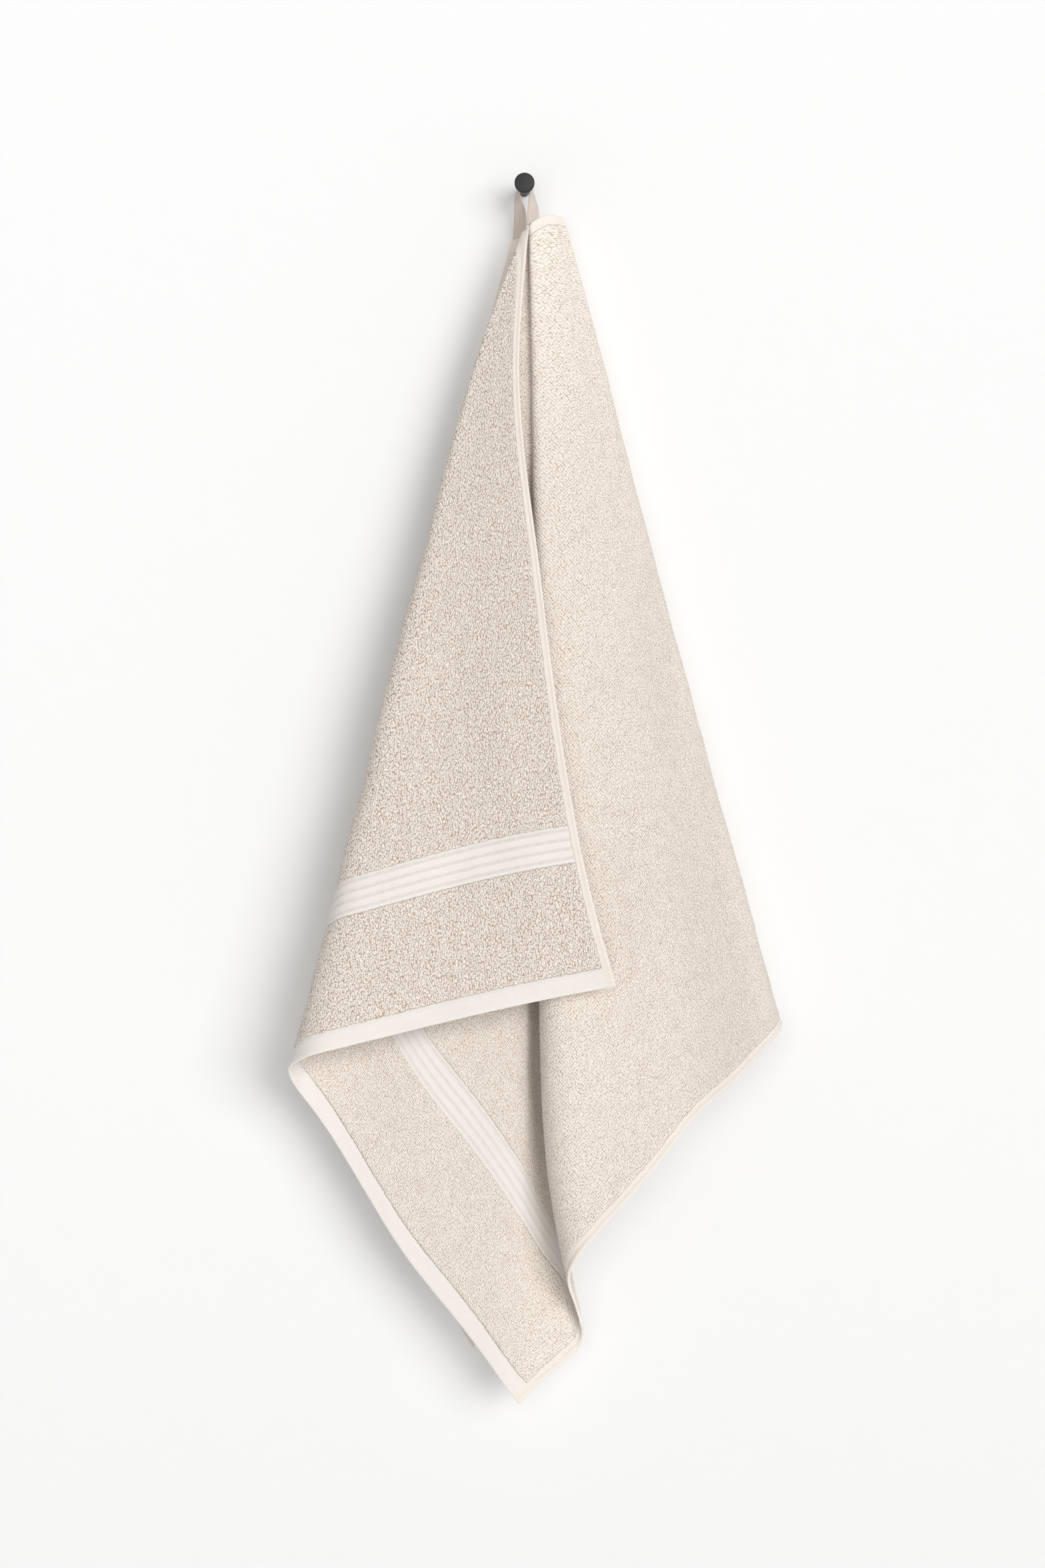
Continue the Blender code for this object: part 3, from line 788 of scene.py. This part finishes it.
def seam_lines():
    """Bearings and lengths along each seam: the gathered long side, the two ends and the lower long side."""
    end = HALF_LENGTH - BUNCH - SEAM_END
    top_at = np.linspace(end, -end, 900)
    yield np.degrees(np.arctan2(SIDE_STITCH, top_at)), np.hypot(SIDE_STITCH, top_at)
    for side in (1, -1):
        turn = np.linspace(0.35, CORNERS[0] - 0.4, 260)
        reach = (HALF_LENGTH - END_STITCH) / np.cos(np.radians(turn)) - BUNCH
        yield (turn if side > 0 else 180 - turn[::-1]), (reach if side > 0 else reach[::-1])
    turn = np.linspace(CORNERS[0] + 0.3, CORNERS[1] - 0.3, 700)
    yield turn, (WIDTH - SIDE_STITCH) / np.sin(np.radians(turn))


def seam_curve():
    """All the seams as one curve object, on both faces."""
    curve = bpy.data.curves.new("seams", "CURVE")
    curve.dimensions = "3D"
    for turn, reach in seam_lines():
        for face in (1, -1):
            line = on_cloth(turn, reach, face)
            spline = curve.splines.new("POLY")
            spline.points.add(len(line) - 1)
            spline.points.foreach_set("co", np.column_stack([line, np.ones(len(line))]).ravel())
    return add_object("hem_stitches", curve)


# %% Geometry Nodes: stitches along a path
def stitch_tree(name, thread):
    """A node tree that sews capsules of thread along a curve."""
    inputs = [("Geometry", BODY, None), ("Pitch", NUMBER, STITCH_PITCH), ("Length", NUMBER, STITCH_LENGTH),
              ("Thread Radius", NUMBER, THREAD_RADIUS)]
    tree, given, out = new_group(name, inputs, [("Geometry", BODY)], "GeometryNodeTree")
    cut = tree.nodes.new("GeometryNodeResampleCurve")
    cut.mode = "LENGTH"
    feed_all(tree, cut, curve=given.outputs["Geometry"], length=given.outputs["Pitch"])
    capsule = add_node(tree, "GeometryNodeMeshUVSphere", segments=6, rings=4, radius=1.0)
    tangent = tree.nodes.new("GeometryNodeInputTangent").outputs[0]
    facing = add_node(tree, "FunctionNodeAlignRotationToVector", vector=tangent)
    facing.axis = "Z"
    radius, half = given.outputs["Thread Radius"], times(tree, given.outputs["Length"], 0.5)
    size = add_node(tree, "ShaderNodeCombineXYZ", x=radius, y=radius, z=half)
    sew = add_node(tree, "GeometryNodeInstanceOnPoints", points=cut.outputs[0],
                   instance=capsule.outputs["Mesh"], rotation=facing.outputs[0], scale=size.outputs[0])
    real = add_node(tree, "GeometryNodeRealizeInstances", geometry=sew.outputs[0])
    paint = add_node(tree, "GeometryNodeSetMaterial", geometry=real.outputs[0], material=thread)
    feed_all(tree, out, geometry=paint.outputs[0])
    return tree


def realized(path, tree, material):
    """Run a node tree on a path and keep the result as a plain mesh object of the same name."""
    maker = path.modifiers.new("made", "NODES")
    maker.node_group = tree
    depsgraph = bpy.context.evaluated_depsgraph_get()
    mesh = bpy.data.meshes.new_from_object(path.evaluated_get(depsgraph))
    name = path.name
    bpy.data.objects.remove(path, do_unlink=True)
    mesh.name = name
    mesh.materials.clear()
    mesh.materials.append(material)
    mesh.shade_smooth()
    return add_object(name, mesh)


# %% Sew the hems
thread, tree, shader = new_material("cotton thread", roughness=0.8)
at = tree.nodes.new("ShaderNodeTexCoord").outputs["Object"]
ply = noise(tree, at, 2500.0, 1.0)
feed(tree, shader.inputs["Base Color"], blend(tree, ply, linear(240, 236, 228), linear(214, 205, 194)))
stitches = realized(seam_curve(), stitch_tree("stitches along a path", thread), thread)
print("stitch faces:", len(stitches.data.polygons))

# %% [markdown]
# The tape loop.
# A narrow woven tape goes over the hook's stem and down to the towel, one leg to its front edge and one to
# its back. It twists on the way, so its legs turn their faces to the front. A table gives its two edges at
# a few heights, and the rows between follow one smooth curve through them.

# %% Table of the tape
TAPE_THICKNESS = 1.2 * MM
TAPE_GAP = 0.45 * MM
TAPE_BACK, TAPE_FRONT = 21 * MM, 32 * MM
STEM_RADIUS = 4.5 * MM
Leg = namedtuple("Leg", "front_x front_off front_z back_x back_off back_z")
RIGHT_LEG = (
    Leg(0.45, 3.35, -0.70, 0.80, 2.50, -0.70),
    Leg(0.32, 3.75, -1.80, 1.10, 3.10, -1.80),
    Leg(0.20, 4.02, -2.90, 1.27, 3.90, -2.90),
    Leg(0.20, 4.10, -3.50, 1.30, 4.00, -3.70),
)
LEFT_LEG = (
    Leg(-0.40, 2.95, -0.70, -0.76, 2.05, -0.70),
    Leg(0.08, 2.00, -2.10, -0.86, 1.45, -2.20),
    Leg(0.15, 0.56, -3.60, -0.94, 0.46, -3.75),
    Leg(0.10, 0.53, -4.35, -1.00, 0.48, -4.80),
)


def leg_edges(rows):
    """Front and back edge of one leg, in metres."""
    front = [(leg.front_x * CM, -leg.front_off * CM, leg.front_z * CM) for leg in rows]
    back = [(leg.back_x * CM, -leg.back_off * CM, leg.back_z * CM) for leg in rows]
    return front, back


def tape_edges():
    """Front and back edge of the tape, from the right leg's end over the stem to the left leg's."""
    front, back = leg_edges(RIGHT_LEG[::-1])
    left_front, left_back = leg_edges(LEFT_LEG)
    radius = STEM_RADIUS + TAPE_GAP + TAPE_THICKNESS / 2
    for k in range(9):
        turn = pi * k / 8
        front.append((radius * cos(turn), -TAPE_FRONT, radius * sin(turn)))
        back.append((radius * cos(turn), -TAPE_BACK, radius * sin(turn)))
    return np.array(front + left_front), np.array(back + left_back)


def follow(points, count):
    """Even steps along one smooth curve through points."""
    way = np.concatenate([[0.0], np.cumsum(np.linalg.norm(np.diff(points, axis=0), axis=1))])
    line = [[smooth(way, points[:, axis], at) for axis in range(3)] for at in np.linspace(0, way[-1], count)]
    return np.array(line), way[-1]


# %% The tape's sheet
TAPE_ROWS, TAPE_COLUMNS = 150, 9
SELVEDGE = ((0, 0.12, 0.88, 1), (0.75, 1, 1, 0.75))     # the tape is thinner at its two edges
front_edge, back_edge = tape_edges()
front_line, front_long = follow(front_edge, TAPE_ROWS)
back_line, back_long = follow(back_edge, TAPE_ROWS)
share = np.linspace(0, 1, TAPE_COLUMNS)
tape_places = front_line[:, None] * (1 - share)[None, :, None] + back_line[:, None] * share[None, :, None]
tape_long = (front_long + back_long) / 2
tape_wide = float(np.linalg.norm(front_line - back_line, axis=1).mean())
tape_u, tape_v = np.meshgrid(np.linspace(0, tape_long, TAPE_ROWS), share * tape_wide, indexing="ij")
tape = sheet_object("hanger_tape", tape_places, tape_u, tape_v)
thicken(tape, np.repeat(np.interp(share, *SELVEDGE)[None], TAPE_ROWS, axis=0) * TAPE_THICKNESS)
print("tape:", round(tape_long, 4), "m long,", round(tape_wide, 4), "m wide")

# %% Material of the tape
tape_weave, tree, shader = new_material("tape weave", roughness=0.9, sheen=0.2)
threads = use_group(tree, weave, flat=flat_map(tree), thread=0.8)
shade = step_up(tree, threads.outputs["Height"], 0.0, 1.1, 0.75, 0.0)
feed(tree, shader.inputs["Base Color"], blend(tree, shade, linear(242, 229, 218), linear(212, 196, 183)))
raise_by(tree, shader, threads.outputs["Height"], 0.25 * MM)
tape.data.materials.append(tape_weave)

# %% [markdown]
# The knob.
# The hook is a small turned knob: one profile, swept round the line that stands out from the wall. The swept
# rings are written out directly, which gives a closed body with its poles on the axis.

# %% The hook's profile and body
CAP_RADIUS, CAP_FRONT, CAP_THICKNESS = 8.5 * MM, 47 * MM, 9 * MM
CAP_EDGE, CAP_DOME = 1.4 * MM, 0.5 * MM
HOOK_SIDES = 96


def hook_profile():
    """Radius and distance from the wall, from the middle of the face to the middle of the back."""
    rim = CAP_RADIUS - CAP_EDGE
    profile = [(rim * k / 6, CAP_FRONT - CAP_DOME * (k / 6)**2) for k in range(6)]
    for k in range(11):
        turn = radians(90 - 9 * k)
        profile.append((rim + CAP_EDGE * cos(turn), CAP_FRONT - CAP_DOME - CAP_EDGE * (1 - sin(turn))))
    back = CAP_FRONT - CAP_THICKNESS
    profile += [(CAP_RADIUS, back + 2.5 * CAP_EDGE), (CAP_RADIUS - 0.6 * MM, back + 1.6 * CAP_EDGE),
                (STEM_RADIUS + 0.5 * MM, back + 0.2 * MM), (STEM_RADIUS, back - 0.4 * MM),
                (STEM_RADIUS, 0.4 * MM), (STEM_RADIUS - 0.2 * MM, 0.0), (0.0, 0.0)]
    return profile


def turned(name, profile, sides):
    """A closed body from a profile that starts and ends on the axis."""
    rings = profile[1:-1]
    points = [(0.0, -profile[0][1], 0.0)]
    turns = [2 * pi * k / sides for k in range(sides)]
    for radius, off in rings:
        points += [(radius * cos(turn), -off, radius * sin(turn)) for turn in turns]
    points.append((0.0, -profile[-1][1], 0.0))
    faces = [(0, 1 + k, 1 + (k + 1) % sides) for k in range(sides)]
    for ring in range(len(rings) - 1):
        start = 1 + ring * sides
        faces += [(start + k, start + sides + k, start + sides + (k + 1) % sides, start + (k + 1) % sides)
                  for k in range(sides)]
    start, last = 1 + (len(rings) - 1) * sides, len(points) - 1
    faces += [(last, start + (k + 1) % sides, start + k) for k in range(sides)]
    mesh = bpy.data.meshes.new(name)
    mesh.from_pydata(points, [], faces)
    mesh.shade_smooth()
    return add_object(name, mesh)


hook = turned("wall_hook", hook_profile(), HOOK_SIDES)
print("knob:", round(2000 * CAP_RADIUS, 1), "mm across; first face looks",
      [round(x, 2) for x in hook.data.polygons[0].normal])

# %% Material of the hook
paint, tree, shader = new_material("matt black paint")
at = tree.nodes.new("ShaderNodeTexCoord").outputs["Object"]
speckle = noise(tree, at, 2600.0, 2.0)
cloud = noise(tree, at, 160.0, 2.0)
feed(tree, shader.inputs["Base Color"], blend(tree, cloud, linear(21, 19, 21), linear(30, 27, 30)))
feed(tree, shader.inputs["Roughness"], step_up(tree, speckle, 0.2, 0.8, 0.5, 0.68))
raise_by(tree, shader, speckle, 0.03 * MM)
hook.data.materials.append(paint)

# %% [markdown]
# Hand the pieces to the frame.
# Each piece rides on the part's one body and stands for its plain solid, which is hidden. The towel and the
# tape are cloth.

# %% Ride and replace
for piece, node, slot_name in (
        (towel, "towel", "terry"), (tape, "hanger_loop", "tape"), (hook, "hook", "hook_paint")):
    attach(piece, "root")
    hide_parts(node)
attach(stitches, "root")

# %% [markdown]
# The room.
# The photograph shows a pale wall and nothing else. The wall here has one side: its back is clear, and light
# from behind passes it, so a view from behind shows the towel's back in soft light. A pale floor lies below
# the picture.


# %% Wall and floor
def backdrop(name, corners, colour, one_sided):
    """A plain rectangle for the room around the object."""
    mesh = bpy.data.meshes.new(name)
    mesh.from_pydata(corners, [], [(0, 1, 2, 3)])
    plaster, tree, shader = new_material(name, roughness=1.0)
    shader.inputs["Base Color"].default_value = colour
    shader.inputs["Specular IOR Level"].default_value = 0.0
    if one_sided:
        clear, mix = tree.nodes.new("ShaderNodeBsdfTransparent"), tree.nodes.new("ShaderNodeMixShader")
        backfacing = tree.nodes.new("ShaderNodeNewGeometry").outputs["Backfacing"]
        to_a_light = tree.nodes.new("ShaderNodeLightPath").outputs["Is Shadow Ray"]
        feed(tree, mix.inputs["Fac"], calc(tree, "MAXIMUM", to_a_light, backfacing))
        tree.links.new(shader.outputs[0], mix.inputs[1])
        tree.links.new(clear.outputs[0], mix.inputs[2])
        tree.links.new(mix.outputs[0], tree.nodes["Material Output"].inputs["Surface"])
    mesh.materials.append(plaster)
    made = add_object(name, mesh)


FLOOR = -1.42
WALL_BACK = 0.5 * MM            # a hair behind the hook's back face
wall_corners = [(-4, WALL_BACK, FLOOR), (4, WALL_BACK, FLOOR), (4, WALL_BACK, 3), (-4, WALL_BACK, 3)]
floor_corners = [(-4, -6, FLOOR), (4, -6, FLOOR), (4, 4, FLOOR), (-4, 4, FLOOR)]
backdrop("wall", wall_corners, (0.785, 0.785, 0.785, 1.0), True)
backdrop("floor", floor_corners, (0.93, 0.93, 0.92, 1.0), False)
print("room: a wall at y =", WALL_BACK, "and a floor at z =", FLOOR)

# %% [markdown]
# Light and camera.
# The shadow on the wall falls to the lower left and is soft, so the main light is far, wide and at the upper
# right, in front. A wider one straight from the front fills it, a third lights the back, and the pale
# surroundings do the rest. The camera stands square to the wall, at the height where both the knob and the
# lower corner are seen without tilt.

# %% Lights
AMBIENT = 0.28                  # light that the surroundings give
SEEN = 0.52                     # how much brighter they look behind the object
world = bpy.data.worlds.new("pale room")
world.use_nodes = True
tree = world.node_tree
surroundings = tree.nodes["Background"]
surroundings.inputs["Color"].default_value = (1.0, 0.995, 0.985, 1.0)
seen = tree.nodes.new("ShaderNodeLightPath").outputs["Is Camera Ray"]
feed(tree, surroundings.inputs["Strength"], plus(tree, times(tree, seen, SEEN), AMBIENT))
bpy.context.scene.world = world


def far_light(name, towards, width, strength):
    """A far, wide light that stands in one direction. Its width is an angle in degrees."""
    light = bpy.data.lights.new(name, "SUN")
    light.angle = radians(width)
    light.energy = strength
    x, y, z = towards
    add_object(name, light).rotation_euler = (np.arctan2(np.hypot(x, y), z), 0.0, np.arctan2(x, -y))


far_light("window", (0.60, -1.0, 0.22), 34.0, 1.62)
far_light("fill from the front", (0.05, -1.0, 0.0), 55.0, 1.55)
far_light("fill from behind", (0.0, 1.0, 0.3), 30.0, 1.5)

# %% Camera
SENSOR = 36.0                   # height of the sensor, in mm
TO_CLOTH = 2.95                 # from the camera to the cloth's front
FRAME_HEIGHT = 1.3294           # height of the picture at that distance
lens = bpy.data.cameras.new("camera")
lens.sensor_fit = "VERTICAL"
lens.sensor_height = SENSOR
lens.lens = SENSOR * TO_CLOTH / FRAME_HEIGHT
camera = add_object("camera", lens)
camera.location = (-0.0017, -3.0, -0.5107)
camera.rotation_euler = (radians(90), 0.0, 0.0)
bpy.context.scene.camera = camera
bpy.context.scene.view_settings.view_transform = "Standard"
print("focal length:", round(lens.lens, 1), "mm")
